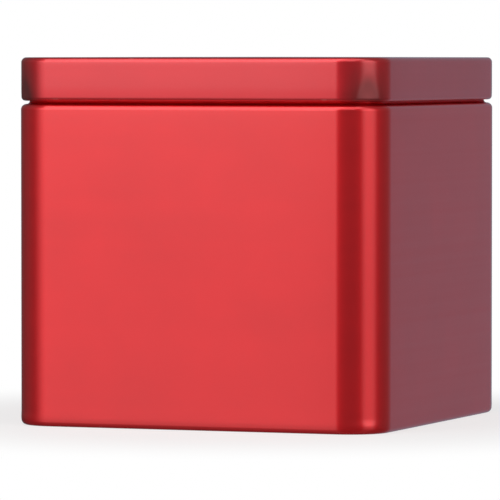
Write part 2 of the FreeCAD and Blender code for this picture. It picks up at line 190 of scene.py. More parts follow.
def remap(tree, value, low, high, to_low=0.0, to_high=1.0, smooth=False):
    kind = "SMOOTHSTEP" if smooth else "LINEAR"
    made = add_node(tree, "ShaderNodeMapRange", interpolation_type=kind)
    for value, socket in zip((value, low, high, to_low, to_high), made.inputs):
        plug(tree, value, socket)
    return made.outputs[0]


def mix_colour(tree, share, a, b):
    made = add_node(tree, "ShaderNodeMix", data_type="RGBA")
    for value, socket in zip((share, a, b), (made.inputs[0], made.inputs[6], made.inputs[7])):
        plain = isinstance(value, (float, bpy.types.NodeSocket))
        plug(tree, value if plain else (*value, 1), socket)
    return made.outputs[2]


def noise_of(tree, vector, scale, detail=2.0, roughness=0.5):
    made = add_node(tree, "ShaderNodeTexNoise")
    plug(tree, vector, made.inputs["Vector"])
    plug(tree, scale, made.inputs["Scale"])
    made.inputs["Detail"].default_value = detail
    made.inputs["Roughness"].default_value = roughness
    return made.outputs["Fac"]


def object_place(tree):
    return tree.nodes.new("ShaderNodeTexCoord").outputs["Object"]


def over_noise(tree, value, to_low=0.0, to_high=1.0):
    """Stretches noise, which is mostly between 0.3 and 0.7, over a range."""
    return remap(tree, value, 0.3, 0.7, to_low, to_high)


def shade_of(base, share):
    """A colour darkened to that share of itself."""
    return tuple(channel * share for channel in base)


def radius_of(tree, x, y):
    square = maths(tree, "ADD", maths(tree, "MULTIPLY", x, x), maths(tree, "MULTIPLY", y, y))
    return maths(tree, "SQRT", square)


def axes_of(tree, vector):
    made = add_node(tree, "ShaderNodeSeparateXYZ")
    plug(tree, vector, made.inputs[0])
    return made.outputs


def new_group(name, inputs, outputs):
    """An empty shader group with float inputs, given with their defaults, and float outputs."""
    tree = bpy.data.node_groups.new(name, "ShaderNodeTree")
    for socket, default in inputs.items():
        made = tree.interface.new_socket(socket, in_out="INPUT", socket_type="NodeSocketFloat")
        made.default_value = default
    for socket in outputs:
        tree.interface.new_socket(socket, in_out="OUTPUT", socket_type="NodeSocketFloat")
    ins = tree.nodes.new("NodeGroupInput").outputs
    outs = tree.nodes.new("NodeGroupOutput").inputs
    return tree, ins, outs


def use_group(tree, name, **values):
    """Places a group in a material with its own values, and returns its outputs."""
    made = add_node(tree, "ShaderNodeGroup", node_tree=bpy.data.node_groups[name])
    for key, value in values.items():
        plug(tree, value, made.inputs[key])
    return made.outputs


def grain_group():
    """Fine all-over texture, as on moulded plastic, paper or lacquer, and a slow drift of tone."""
    defaults = {"Size": 0.4 * MM, "Drift": 12 * MM}
    tree, ins, outs = new_group("surface_grain", defaults, ("Height", "Tone"))
    place = object_place(tree)
    fine = noise_of(tree, place, maths(tree, "DIVIDE", 1.0, ins["Size"]), detail=3.0)
    slow = noise_of(tree, place, maths(tree, "DIVIDE", 1.0, ins["Drift"]), detail=3.0)
    tree.links.new(fine, outs["Height"])
    tree.links.new(slow, outs["Tone"])


def rolled_group():
    """Marks left by the rolling mill: fine lines that run one way round the sheet."""
    defaults = {"Pitch": 0.25 * MM, "Length": 30 * MM}
    tree, ins, outs = new_group("rolled_lines", defaults, ("Height", "Tone"))
    x, y, z = axes_of(tree, object_place(tree))
    lines = add_node(tree, "ShaderNodeCombineXYZ")
    tree.links.new(maths(tree, "DIVIDE", x, ins["Length"]), lines.inputs[0])
    tree.links.new(maths(tree, "DIVIDE", y, ins["Length"]), lines.inputs[1])
    tree.links.new(maths(tree, "DIVIDE", z, ins["Pitch"]), lines.inputs[2])
    tree.links.new(noise_of(tree, lines.outputs[0], 1.0, detail=2.0), outs["Height"])
    tree.links.new(noise_of(tree, lines.outputs[0], 0.2, detail=2.0), outs["Tone"])


def wear_group():
    """Mask of broken rubbing marks in a band about one level."""
    defaults = {"Level": 0.0, "Band": 0.4 * MM, "Amount": 0.5}
    tree, ins, outs = new_group("edge_wear", defaults, ("Mask",))
    place = object_place(tree)
    above = maths(tree, "ABSOLUTE", maths(tree, "SUBTRACT", axes_of(tree, place)[2], ins["Level"]))
    near = maths(tree, "SUBTRACT", 1.0, maths(tree, "DIVIDE", above, ins["Band"]), clamp=True)
    broken = noise_of(tree, place, 260.0, detail=5.0, roughness=0.7)
    cut = maths(tree, "SUBTRACT", 1.0, maths(tree, "MULTIPLY", ins["Amount"], near))
    tree.links.new(remap(tree, broken, cut, maths(tree, "ADD", cut, 0.06)), outs["Mask"])


def painted_reflection_group():
    """Mask of arches on the four upright corners, widest at one level, where a dark reflection is
    painted.
    """
    defaults = {"Level": 0.0, "Height": 4 * MM, "Width": 5 * MM, "Reach": 30 * MM}
    tree, ins, outs = new_group("painted_reflection_arches", defaults, ("Mask",))
    place = object_place(tree)
    x, y, z = axes_of(tree, place)
    past_x = maths(tree, "SUBTRACT", maths(tree, "ABSOLUTE", x), ins["Reach"])
    past_y = maths(tree, "SUBTRACT", maths(tree, "ABSOLUTE", y), ins["Reach"])
    off = maths(tree, "DIVIDE", maths(tree, "SUBTRACT", past_x, past_y), ins["Width"])
    up = maths(tree, "DIVIDE", maths(tree, "SUBTRACT", z, ins["Level"]), ins["Height"])
    off_square = maths(tree, "MULTIPLY", off, off)
    out = maths(tree, "MULTIPLY_ADD", up, up, off_square)
    # painted reflection: the arch's shape, where the lacquer is darkened as a painted dark
    # reflection
    inside = remap(tree, maths(tree, "SQRT", out), 1.15, 0.6, smooth=True)
    on_corner = maths(tree, "GREATER_THAN", maths(tree, "MINIMUM", past_x, past_y), 0.0)
    tree.links.new(maths(tree, "MULTIPLY", inside, on_corner), outs["Mask"])


def stain_group():
    """Mask of ink all over inside a square, and in blots that thin out with distance outside it."""
    defaults = {"From": 31 * MM, "Reach": 2 * MM, "Amount": 1.0}
    tree, ins, outs = new_group("ink_stain", defaults, ("Mask",))
    place = object_place(tree)
    x, y, _ = axes_of(tree, place)
    out = maths(tree, "MAXIMUM", maths(tree, "ABSOLUTE", x), maths(tree, "ABSOLUTE", y))
    far = maths(tree, "DIVIDE", maths(tree, "SUBTRACT", out, ins["From"]), ins["Reach"], clamp=True)
    blots = noise_of(tree, place, 340.0, detail=4.0, roughness=0.6)
    cut = maths(tree, "ADD", 0.36, maths(tree, "MULTIPLY", far, 0.45))
    spread = remap(tree, blots, cut, maths(tree, "ADD", cut, 0.08))
    tree.links.new(maths(tree, "MULTIPLY", spread, ins["Amount"]), outs["Mask"])


def weave_group():
    """Plain weave: threads pass over and under in alternate cells of the cloth's own UV map."""
    tree, ins, outs = new_group("plain_weave", {"Pitch": 0.4 * MM}, ("Height",))
    u, v, _ = axes_of(tree, tree.nodes.new("ShaderNodeUVMap").outputs["UV"])
    turn = maths(tree, "DIVIDE", math.pi, ins["Pitch"])
    across = maths(tree, "SINE", maths(tree, "MULTIPLY", u, turn))
    along = maths(tree, "SINE", maths(tree, "MULTIPLY", v, turn))
    over = maths(tree, "MULTIPLY_ADD", maths(tree, "MULTIPLY", across, along), 3.0, 0.5, clamp=True)
    warp = maths(tree, "MULTIPLY", maths(tree, "ABSOLUTE", across), over)
    under = maths(tree, "SUBTRACT", 1.0, over)
    weft = maths(tree, "MULTIPLY", maths(tree, "ABSOLUTE", along), under)
    tree.links.new(maths(tree, "POWER", maths(tree, "ADD", warp, weft), 0.6), outs["Height"])


def build_groups():
    for build in (grain_group, rolled_group, wear_group, painted_reflection_group, stain_group, weave_group):
        build()


# ---------------------------------------------------------------- materials


def new_material(name, **values):
    """A Principled material with plain values on its sockets, given with _ for a space."""
    material = bpy.data.materials.new(name)
    material.use_nodes = True
    tree = material.node_tree
    shader = tree.nodes["Principled BSDF"]
    for key, value in values.items():
        shader.inputs[key.replace("_", " ")].default_value = value
    return material, tree, shader.inputs


def add_bump(tree, inputs, height, distance, strength=1.0):
    bump = add_node(tree, "ShaderNodeBump")
    bump.inputs["Strength"].default_value = strength
    bump.inputs["Distance"].default_value = distance
    tree.links.new(height, bump.inputs["Height"])
    tree.links.new(bump.outputs["Normal"], inputs["Normal"])


def red_lacquer(name, base, rubbed=(), painted_reflections=()):
    """Clear red lacquer over bright tinplate, rubbed at some levels, with a dark reflection painted
    in arches on the corners.
    """
    material, tree, ins = new_material(name, Metallic=0.82, Coat_Roughness=0.12, Coat_IOR=1.6)
    grain = use_group(tree, "surface_grain", Size=0.22 * MM, Drift=16 * MM)
    lines = use_group(tree, "rolled_lines", Pitch=0.5 * MM, Length=60 * MM)
    deep = shade_of(base, 0.93)
    tone = mix_colour(tree, over_noise(tree, grain["Tone"]), deep, base)
    gloss = over_noise(tree, lines["Tone"], 0.33, 0.38)
    # painted reflection: arches on the corners are darkened towards a dark brownish red, standing
    # in for a dark reflection
    for spread, strength in painted_reflections:
        reflection_share = maths(tree, "MULTIPLY", use_group(tree, "painted_reflection_arches", **spread)["Mask"], strength)
        tone = mix_colour(tree, reflection_share, tone, (0.2, 0.035, 0.035))
    coat = 1.0
    for level in rubbed:
        worn = use_group(tree, "edge_wear", Level=level, Band=0.5 * MM, Amount=0.45)["Mask"]
        worn = maths(tree, "MULTIPLY", worn, 0.35)
        tone = mix_colour(tree, worn, tone, (0.9, 0.32, 0.3))
        gloss = maths(tree, "MULTIPLY_ADD", worn, 0.15, gloss)
        coat = maths(tree, "SUBTRACT", coat, worn, clamp=True)
    tree.links.new(tone, ins["Base Color"])
    tree.links.new(gloss, ins["Roughness"])
    plug(tree, coat, ins["Coat Weight"])
    add_bump(tree, ins, grain["Height"], 0.004 * MM)
    return material


def bare_tinplate(colours):
    """Bright tin with the mill's lines and a faint bloom."""
    material, tree, ins = new_material("bare_tinplate", Metallic=1.0)
    lines = use_group(tree, "rolled_lines", Pitch=0.5 * MM, Length=20 * MM)
    grain = use_group(tree, "surface_grain", Size=1.6 * MM, Drift=9 * MM)
    dull = shade_of(colours.tinplate, 0.82)
    tree.links.new(mix_colour(tree, grain["Tone"], dull, colours.tinplate), ins["Base Color"])
    tree.links.new(over_noise(tree, grain["Height"], 0.36, 0.46), ins["Roughness"])
    add_bump(tree, ins, lines["Height"], 0.008 * MM)
    return material


def plastic(name, base, texture, height, roughness, stain=None, ink=None):
    """Moulded plastic with a fine texture, and ink crept over it where a stain is given."""
    material, tree, ins = new_material(name, IOR=1.5)
    grain = use_group(tree, "surface_grain", Size=texture, Drift=14 * MM)
    tone = mix_colour(tree, over_noise(tree, grain["Tone"]), shade_of(base, 0.85), base)
    gloss = over_noise(tree, grain["Height"], roughness - 0.06, roughness + 0.06)
    if stain:
        mask = use_group(tree, "ink_stain", **stain)["Mask"]
        tone = mix_colour(tree, mask, tone, ink)
        gloss = maths(tree, "MULTIPLY_ADD", mask, -0.18, gloss)
    tree.links.new(tone, ins["Base Color"])
    tree.links.new(gloss, ins["Roughness"])
    add_bump(tree, ins, grain["Height"], height)
    return material


def label_paper(colours):
    """Uncoated paper with a round swatch of the pad's colour inside a thin ring."""
    material, tree, ins = new_material("label_paper", Roughness=0.85)
    grain = use_group(tree, "surface_grain", Size=0.35 * MM, Drift=6 * MM)
    x, y, _ = axes_of(tree, object_place(tree))
    out = radius_of(tree, x, y)
    swatch = maths(tree, "LESS_THAN", out, 11 * MM)
    ring = maths(tree, "COMPARE", out, 15.5 * MM, 0.35 * MM)
    printed = maths(tree, "MAXIMUM", swatch, ring)
    paper = mix_colour(tree, grain["Tone"], shade_of(colours.paper, 0.93), colours.paper)
    tree.links.new(mix_colour(tree, printed, paper, (0.5, 0.02, 0.03)), ins["Base Color"])
    add_bump(tree, ins, grain["Height"], 0.02 * MM)
    return material


def closed_foam(colours):
    """Closed-cell foam: a pale skin with fine cells showing through."""
    material, tree, ins = new_material("closed_foam", Roughness=0.72, Sheen_Weight=0.15)
    place = object_place(tree)
    cells = add_node(tree, "ShaderNodeTexVoronoi")
    cells.inputs["Scale"].default_value = 1 / (0.55 * MM)
    tree.links.new(place, cells.inputs["Vector"])
    grain = use_group(tree, "surface_grain", Size=0.3 * MM, Drift=10 * MM)
    shade = shade_of(colours.foam, 0.86)
    tone = mix_colour(tree, remap(tree, cells.outputs["Distance"], 0.1, 0.7), shade, colours.foam)
    tree.links.new(tone, ins["Base Color"])
    height = maths(tree, "ADD", cells.outputs["Distance"], grain["Height"])
    add_bump(tree, ins, height, 0.05 * MM)
    return material


def inked_soft(name, colours, size, height, sheen):
    """Felt or sponge soaked with ink: darker and glossier where the ink has pooled."""
    material, tree, ins = new_material(name, Sheen_Weight=sheen, Sheen_Roughness=0.6)
    grain = use_group(tree, "surface_grain", Size=size, Drift=7 * MM)
    pooled = remap(tree, grain["Tone"], 0.42, 0.62, smooth=True)
    tree.links.new(mix_colour(tree, pooled, colours.ink, colours.ink_dark), ins["Base Color"])
    tree.links.new(remap(tree, pooled, 0.0, 1.0, 0.75, 0.42), ins["Roughness"])
    add_bump(tree, ins, grain["Height"], height)
    return material


def inked_cloth(colours, thread):
    """Plain-woven cloth, damp with ink: threads catch the light, and the hollows between them are
    darker, painted shade where ink also gathers.
    """
    material, tree, ins = new_material("inked_cloth", Sheen_Weight=0.25, Sheen_Roughness=0.5)
    weave = use_group(tree, "plain_weave", Pitch=thread)
    grain = use_group(tree, "surface_grain", Size=0.12 * MM, Drift=9 * MM)
    damp = remap(tree, grain["Tone"], 0.4, 0.62, smooth=True)
    hollow = remap(tree, weave["Height"], 0.35, 0.85)
    wet = maths(tree, "MULTIPLY", damp, 0.6)
    thread_tone = mix_colour(tree, wet, colours.ink, colours.ink_dark)
    # painted shade: the weave's hollows take the deep ink colour, darker than the threads
    tree.links.new(mix_colour(tree, hollow, colours.ink_dark, thread_tone), ins["Base Color"])
    dry = remap(tree, damp, 0.0, 1.0, 0.62, 0.4)
    tree.links.new(maths(tree, "MULTIPLY_ADD", hollow, 0.12, dry), ins["Roughness"])
    height = maths(tree, "MULTIPLY_ADD", grain["Height"], 0.35, weave["Height"])
    add_bump(tree, ins, height, 0.11 * MM)
    return material


def clear_film(colours):
    """Clear film with a faint haze and smears of ink on its underside."""
    material, tree, ins = new_material("clear_film", IOR=1.57, Roughness=0.07,
                                       Specular_IOR_Level=0.5)
    grain = use_group(tree, "surface_grain", Size=1.5 * MM, Drift=11 * MM)
    smear = remap(tree, grain["Tone"], 0.56, 0.68, smooth=True)
    tree.links.new(mix_colour(tree, smear, colours.film, colours.ink), ins["Base Color"])
    tree.links.new(remap(tree, smear, 0.0, 1.0, 0.16, 0.4), ins["Alpha"])
    return material


class Finishes:
    """The materials by name, built once from the scene's colours."""

    made = {}

    @classmethod
    def build(cls, context):
        colours = context.scene.ink_pad_colours
        sizes = context.scene.ink_pad_sizes
        build_groups()
        ink = colours.ink
        hem, top = (corner.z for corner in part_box("lid_shell"))
        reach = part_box("lid_shell")[1].x - sizes.corner
        # two arches of painted dark reflection on the lid's corners, a broad one and a tight one
        wide = {"Level": hem, "Height": 9 * MM, "Width": 7 * MM, "Reach": reach}
        arch = {"Level": hem, "Height": 5.2 * MM, "Width": 4.6 * MM, "Reach": reach}
        painted_reflections = ((wide, 0.42), (arch, 0.62))
        rubbed = (top - 0.3 * MM, hem + 0.4 * MM)
        stain = {"From": 31.4 * MM, "Reach": 2.2 * MM, "Amount": 0.85}
        tape = plastic("foam_tape", colours.foam, 0.5 * MM, 0.08 * MM, 0.8)
        pedestal = plastic("pedestal_plastic", colours.pedestal, 0.3 * MM, 0.03 * MM, 0.52)
        tray = plastic("tray_plastic", colours.tray, 0.25 * MM, 0.012 * MM, 0.36, stain, ink)
        soaked = {"From": 0.0, "Reach": 60 * MM, "Amount": 0.8}
        wick = plastic("wick_plastic", colours.wick, 0.4 * MM, 0.02 * MM, 0.45, soaked, ink)
        compound = plastic("sealing_compound", colours.compound, 0.6 * MM, 0.05 * MM, 0.6)
        cls.made = {
            "red_lacquer": red_lacquer("red_lacquer", colours.lacquer),
            # the lid's finish: the lacquer with painted shade, and painted dark reflections on its
            # corners
            "shaded_lid_lacquer": red_lacquer("shaded_lid_lacquer", colours.shaded_lid_lacquer, rubbed, painted_reflections),
            "bare_tinplate": bare_tinplate(colours),
            "label_paper": label_paper(colours),
            "liner_foam": closed_foam(colours),
            "foam_tape": tape,
            "pedestal_plastic": pedestal,
            "tray_plastic": tray,
            "wick_plastic": wick,
            "sealing_compound": compound,
            "inked_felt": inked_soft("inked_felt", colours, 0.25 * MM, 0.1 * MM, 0.35),
            "sponge": inked_soft("sponge", colours, 0.5 * MM, 0.12 * MM, 0.1),
            "inked_cloth": inked_cloth(colours, sizes.thread),
            "clear_film": clear_film(colours),
        }


def finish_node(node, finish):
    """Gives a CAD node its material."""
    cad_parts[node].material_slots[0].material = Finishes.made[finish]


# ---------------------------------------------------------------- mesh helpers


def run(bm, tip, x, z):
    """Draws the wire straight on from its tip to (x, z)."""
    tip = bmesh.ops.extrude_vert_indiv(bm, verts=[tip])["verts"][0]
    tip.co.x = x
    tip.co.z = z
    return tip


def run_in_steps(bm, tip, x, start, end, steps):
    """Draws the wire up or down at x, from height start to height end, with points on the way."""
    for i in range(1, steps + 1):
        tip = run(bm, tip, x, start + (end - start) * i / steps)
    return tip


def bend(bm, tip, x, z, turn, steps):
    """Turns the wire's tip about (x, z). A positive turn goes from the top over to the outside."""
    centre = (x, tip.co.y, z)
    made = bmesh.ops.spin(bm, geom=[tip], cent=centre, axis=(0, 1, 0), angle=math.radians(turn),
                          steps=steps)
    return next(part for part in made["geom_last"] if isinstance(part, bmesh.types.BMVert))


def last_row(parts):
    """The edges among newly made parts that join two of their new vertices."""
    points = {part for part in parts if isinstance(part, bmesh.types.BMVert)}
    edges = [part for part in parts if isinstance(part, bmesh.types.BMEdge)]
    return [edge for edge in edges if set(edge.verts) <= points], list(points)


def carry_round(bm, reach):
    """Carries the wire round the square: a quarter spin about each corner, then along a side."""
    row = bm.edges[:]
    signs = ((1, 1), (-1, 1), (-1, -1), (1, -1))
    centres = [Vector((x * reach, y * reach, 0)) for x, y in signs]
    for i, centre in enumerate(centres):
        spun = bmesh.ops.spin(bm, geom=row, cent=centre, axis=(0, 0, 1), angle=math.pi / 2,
                              steps=CORNER_STEPS)
        row, _ = last_row(spun["geom_last"])
        step = (centres[(i + 1) % 4] - centre) / SIDE_STEPS
        for _ in range(SIDE_STEPS):
            row, points = last_row(bmesh.ops.extrude_edge_only(bm, edges=row)["geom"])
            bmesh.ops.translate(bm, vec=step, verts=points)
    bmesh.ops.remove_doubles(bm, verts=bm.verts, dist=SNAP)
    face_outwards(bm)


def face_outwards(bm):
    """Turns every face of an open shell the way its outermost one should point."""
    bmesh.ops.recalc_face_normals(bm, faces=bm.faces)
    widest = max(bm.faces, key=lambda face: face.calc_center_median().x)
    if widest.normal.x < 0:
        bmesh.ops.reverse_faces(bm, faces=bm.faces)


def with_edges(faces):
    """The faces with all their edges and points."""
    return [*faces, *{e for f in faces for e in f.edges}, *{v for f in faces for v in f.verts}]


def cut_grid(bm, faces, spacing, reach):
    """Cuts the faces into cells by upright planes across X and Y."""
    count = int(reach / spacing)
    for normal in ((1, 0, 0), (0, 1, 0)):
        for i in range(-count, count + 1):
            place = Vector(normal) * i * spacing
            cut = bmesh.ops.bisect_plane(bm, geom=with_edges(faces), plane_co=place,
                                         plane_no=normal, dist=SNAP)
            faces = [part for part in cut["geom"] if isinstance(part, bmesh.types.BMFace)]
    return faces


def add_object(name, data):
    made = bpy.data.objects.new(name, data)
    bpy.context.scene.collection.objects.link(made)
    return made


def new_mesh(name, bm):
    mesh = bpy.data.meshes.new(name)
    bm.to_mesh(mesh)
    bm.free()
    return mesh


def new_piece(name, bm, *finishes):
    mesh = new_mesh(name, bm)
    mesh.shade_smooth()
    piece = add_object(name, mesh)
    for finish in finishes:
        mesh.materials.append(Finishes.made[finish])
    return piece


def make_real(piece):
    """Puts the result of the piece's modifiers in its mesh."""
    depsgraph = bpy.context.evaluated_depsgraph_get()
    shaped = piece.evaluated_get(depsgraph)
    mesh = bpy.data.meshes.new_from_object(shaped, depsgraph=depsgraph)
    piece.modifiers.clear()
    piece.data = mesh


def settle(piece, sharp=40):
    """Makes the piece's modifiers real, and keeps creases crisp above that angle in degrees."""
    make_real(piece)
    piece.data.shade_smooth()
    piece.data.set_sharp_from_angle(angle=math.radians(sharp))


def thicken(piece, gauge):
    """Gives a sheet its gauge on the inside, with the second material there and on its cut edge."""
    wall = piece.modifiers.new("gauge", "SOLIDIFY")
    wall.thickness = gauge
    wall.offset = -1
    wall.use_even_offset = True
    wall.use_quality_normals = True
    wall.material_offset = 1
    wall.material_offset_rim = 1


def weigh_normals(piece):
    """Lets the large flat faces set the shading beside small bends, as on real sheet."""
    piece.modifiers.new("shading", "WEIGHTED_NORMAL").keep_sharp = True
    make_real(piece)


def displace(piece, name, kind, size, strength, **settings):
    """Pushes the surface in and out by a procedural texture of that grain size."""
    texture = bpy.data.textures.new(name, kind)
    texture.noise_scale = size
    for key, value in settings.items():
        setattr(texture, key, value)
    push = piece.modifiers.new(name, "DISPLACE")
    push.texture = texture
    push.texture_coords = "LOCAL"
    push.strength = strength


def round_off(bm, parts, radius, segments, affect="EDGES"):
    bmesh.ops.bevel(bm, geom=parts, offset=radius, offset_type="OFFSET", segments=segments,
                    profile=0.5, affect=affect, material=-1)


def new_block(size, middle):
    bm = bmesh.new()
    bmesh.ops.create_cube(bm, size=1)
    bmesh.ops.scale(bm, vec=size, verts=bm.verts)
    bmesh.ops.translate(bm, vec=middle, verts=bm.verts)
    return bm


def extent(edge, axis):
    """How far an edge runs along an axis."""
    return abs(edge.verts[0].co[axis] - edge.verts[1].co[axis])


def soft_block(node, corner, edge, inset=0.0):
    """A closed block in the space of a CAD node, with rounded upright corners and softened rims."""
    low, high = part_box(node)
    low, high = low + Vector((inset,) * 3), high - Vector((inset,) * 3)
    bm = new_block(high - low, (low + high) / 2)
    round_off(bm, [e for e in bm.edges if extent(e, 2) > TINY], corner, 6)
    round_off(bm, [e for e in bm.edges if extent(e, 2) < TINY], edge, 4)
    return bm


def corner_share(point, reach):
    """1 in the middle of an upright corner and 0 where it meets the sides, and which way is out."""
    outward = Vector((max(abs(point.x) - reach, 0), max(abs(point.y) - reach, 0), 0))
    if outward.x == 0 or outward.y == 0:
        return 0.0, Vector()
    share = math.sin(2 * math.atan2(outward.y, outward.x)) ** 2
    out = Vector((math.copysign(outward.x, point.x), math.copysign(outward.y, point.y), 0))
    return share, out.normalized()


def spring_back(bm, relax, soften, reach, corner):
    """Lets flat sides fall away before the corners, and carries the bend through each corner."""
    for v in bm.verts:
        past = [max(abs(along) - reach, 0) for along in v.co.xy]
        if all(past):
            turn = math.atan2(min(past), max(past))
            inset = relax * (1 + 2 * corner / soften * (turn - turn * turn * 2 / math.pi))
            out = Vector((math.copysign(past[0], v.co.x), math.copysign(past[1], v.co.y), 0))
            v.co -= out.normalized() * inset
        elif any(past):
            side = past.index(max(past))
            along = max(abs(v.co[1 - side]) - (reach - soften), 0) / soften
            v.co[side] -= math.copysign(relax * along * along, v.co[side])


def lean_in(bm, low, height, depth, half, reach):
    """Pulls flat sides in towards their lower edge, less at the corners, where sheet is stiff."""
    for v in bm.verts:
        down = min(max((low + height - v.co.z) / height, 0), 1)
        share, _ = corner_share(v.co, reach)
        v.co.xy *= 1 - depth / half * down * down * (1 - share)


def smooth_step(value, low, high):
    t = min(max((value - low) / (high - low), 0), 1)
    return t * t * (3 - 2 * t)


# ---------------------------------------------------------------- pieces


class INKPAD_OT_wall(bpy.types.Operator):
    """Bend up the tin's wall, from its rolled rim to the lip inside its foot, with its lock seam"""

    bl_idname = "ink_pad.wall"
    bl_label = "Wall"

    def execute(self, context):
        sizes = context.scene.ink_pad_sizes
        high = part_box("tin_wall")[1]
        half = high.x
        reach = half - sizes.corner
        bm = bmesh.new()
        self.trace(bm, sizes, half, high.z, reach)
        carry_round(bm, reach)
        self.score_seam(bm, sizes, half, reach)
        spring_back(bm, sizes.wall_relax, sizes.relax_reach, reach, sizes.corner)
        lean_in(bm, sizes.foot, sizes.foot_lean_reach, sizes.foot_lean, half, reach)
        self.form(bm, sizes, half, reach)
        wall = new_piece("wall_sheet", bm, "red_lacquer", "bare_tinplate")
        thicken(wall, sizes.gauge)
        settle(wall)
        weigh_normals(wall)
        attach(wall, "tin")
        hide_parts("tin_wall")
        self.add_seam(sizes, half)
        return {"FINISHED"}

    def trace(self, bm, sizes, half, top, reach):
        """The outer line of the sheet, from the end of the rim's roll to the end of the lip."""
        neck = half - sizes.shoulder - sizes.neck_fillet
        roll = sizes.rim / 2
        tip = bm.verts.new((neck - roll, reach, top - 2 * roll))
        tip = bend(bm, tip, neck - roll, top - roll, 270, ROLL_STEPS)
        neck_foot = sizes.shoulder_level + sizes.neck_fillet
        tip = run(bm, tip, neck, neck_foot)
        tip = bend(bm, tip, neck + sizes.neck_fillet, neck_foot, -90, 6)
        wall_top, wall_foot = sizes.shoulder_level - sizes.shoulder, sizes.foot
        tip = bend(bm, tip, half - sizes.shoulder, wall_top, 90, 10)
        near_foot = 4.5 * MM
        tip = run_in_steps(bm, tip, half, wall_top, near_foot, 14)
        tip = run_in_steps(bm, tip, half, near_foot, wall_foot, 16)
        tip = bend(bm, tip, half - sizes.foot, sizes.foot, 90, 10)
        lip = half - sizes.foot - sizes.land - sizes.foot_bend
        tip = run(bm, tip, lip + sizes.foot_bend, 0)
        tip = bend(bm, tip, lip + sizes.foot_bend, sizes.foot_bend, 90, 6)
        run(bm, tip, lip, sizes.lip)

    def score_seam(self, bm, sizes, half, reach):
        """Presses the groove of the lock seam into the back of the wall."""
        for x in (-1.5, -1, -0.5, 0, 0.5, 1, 1.5):
            back = [f for f in bm.faces if f.calc_center_median().y > reach]
            place = (x * sizes.seam_groove, 0, 0)
            bmesh.ops.bisect_plane(bm, geom=with_edges(back), plane_co=place, plane_no=(1, 0, 0),
                                   dist=SNAP)
        in_groove = 0.51 * sizes.seam_groove
        for v in bm.verts:
            if v.co.y > half - TINY and abs(v.co.x) < in_groove:
                v.co.y -= sizes.seam_depth * (1 - abs(v.co.x) / sizes.seam_groove)

    def form(self, bm, sizes, half, reach):
        """Sides that aren't quite flat, and corners that swell above the foot."""
        wall_top = sizes.shoulder_level - sizes.shoulder
        wave_length, outward = 26 * MM, 0.4
        for v in bm.verts:
            share, out = corner_share(v.co, reach)
            if share:
                rise = (v.co.z - sizes.bulge_level) / sizes.bulge_reach
                v.co += out * sizes.bulge * share ** 2 * math.exp(-rise * rise)
            up = (v.co.z - sizes.foot) / (wall_top - sizes.foot)
            if not 0 < up < 1:
                continue
            for axis in (0, 1):
                along = v.co[1 - axis] / reach
                if abs(v.co[axis]) > half - sizes.gauge and abs(along) < 1:
                    swell = math.sin(math.pi * up) * (1 - along * along)
                    wave = noise.noise(v.co / wave_length) + outward
                    v.co[axis] += math.copysign(sizes.ripple * swell * wave, v.co[axis])

    def add_seam(self, sizes, half):
        """The folded layers of the seam, on the inside of the wall's back."""
        low = 2.3 * MM
        high = sizes.shoulder_level - sizes.shoulder - 0.5 * MM
        inside = half - sizes.gauge
        bite = 0.08 * MM
        middle = (0, inside - sizes.seam_build / 2 + bite, (low + high) / 2)
        bm = new_block((sizes.seam, sizes.seam_build, high - low), middle)
        round_off(bm, bm.edges[:], 0.18 * MM, 3)
        seam = new_piece("wall_lock_seam", bm, "bare_tinplate")
        settle(seam)
        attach(seam, "tin")


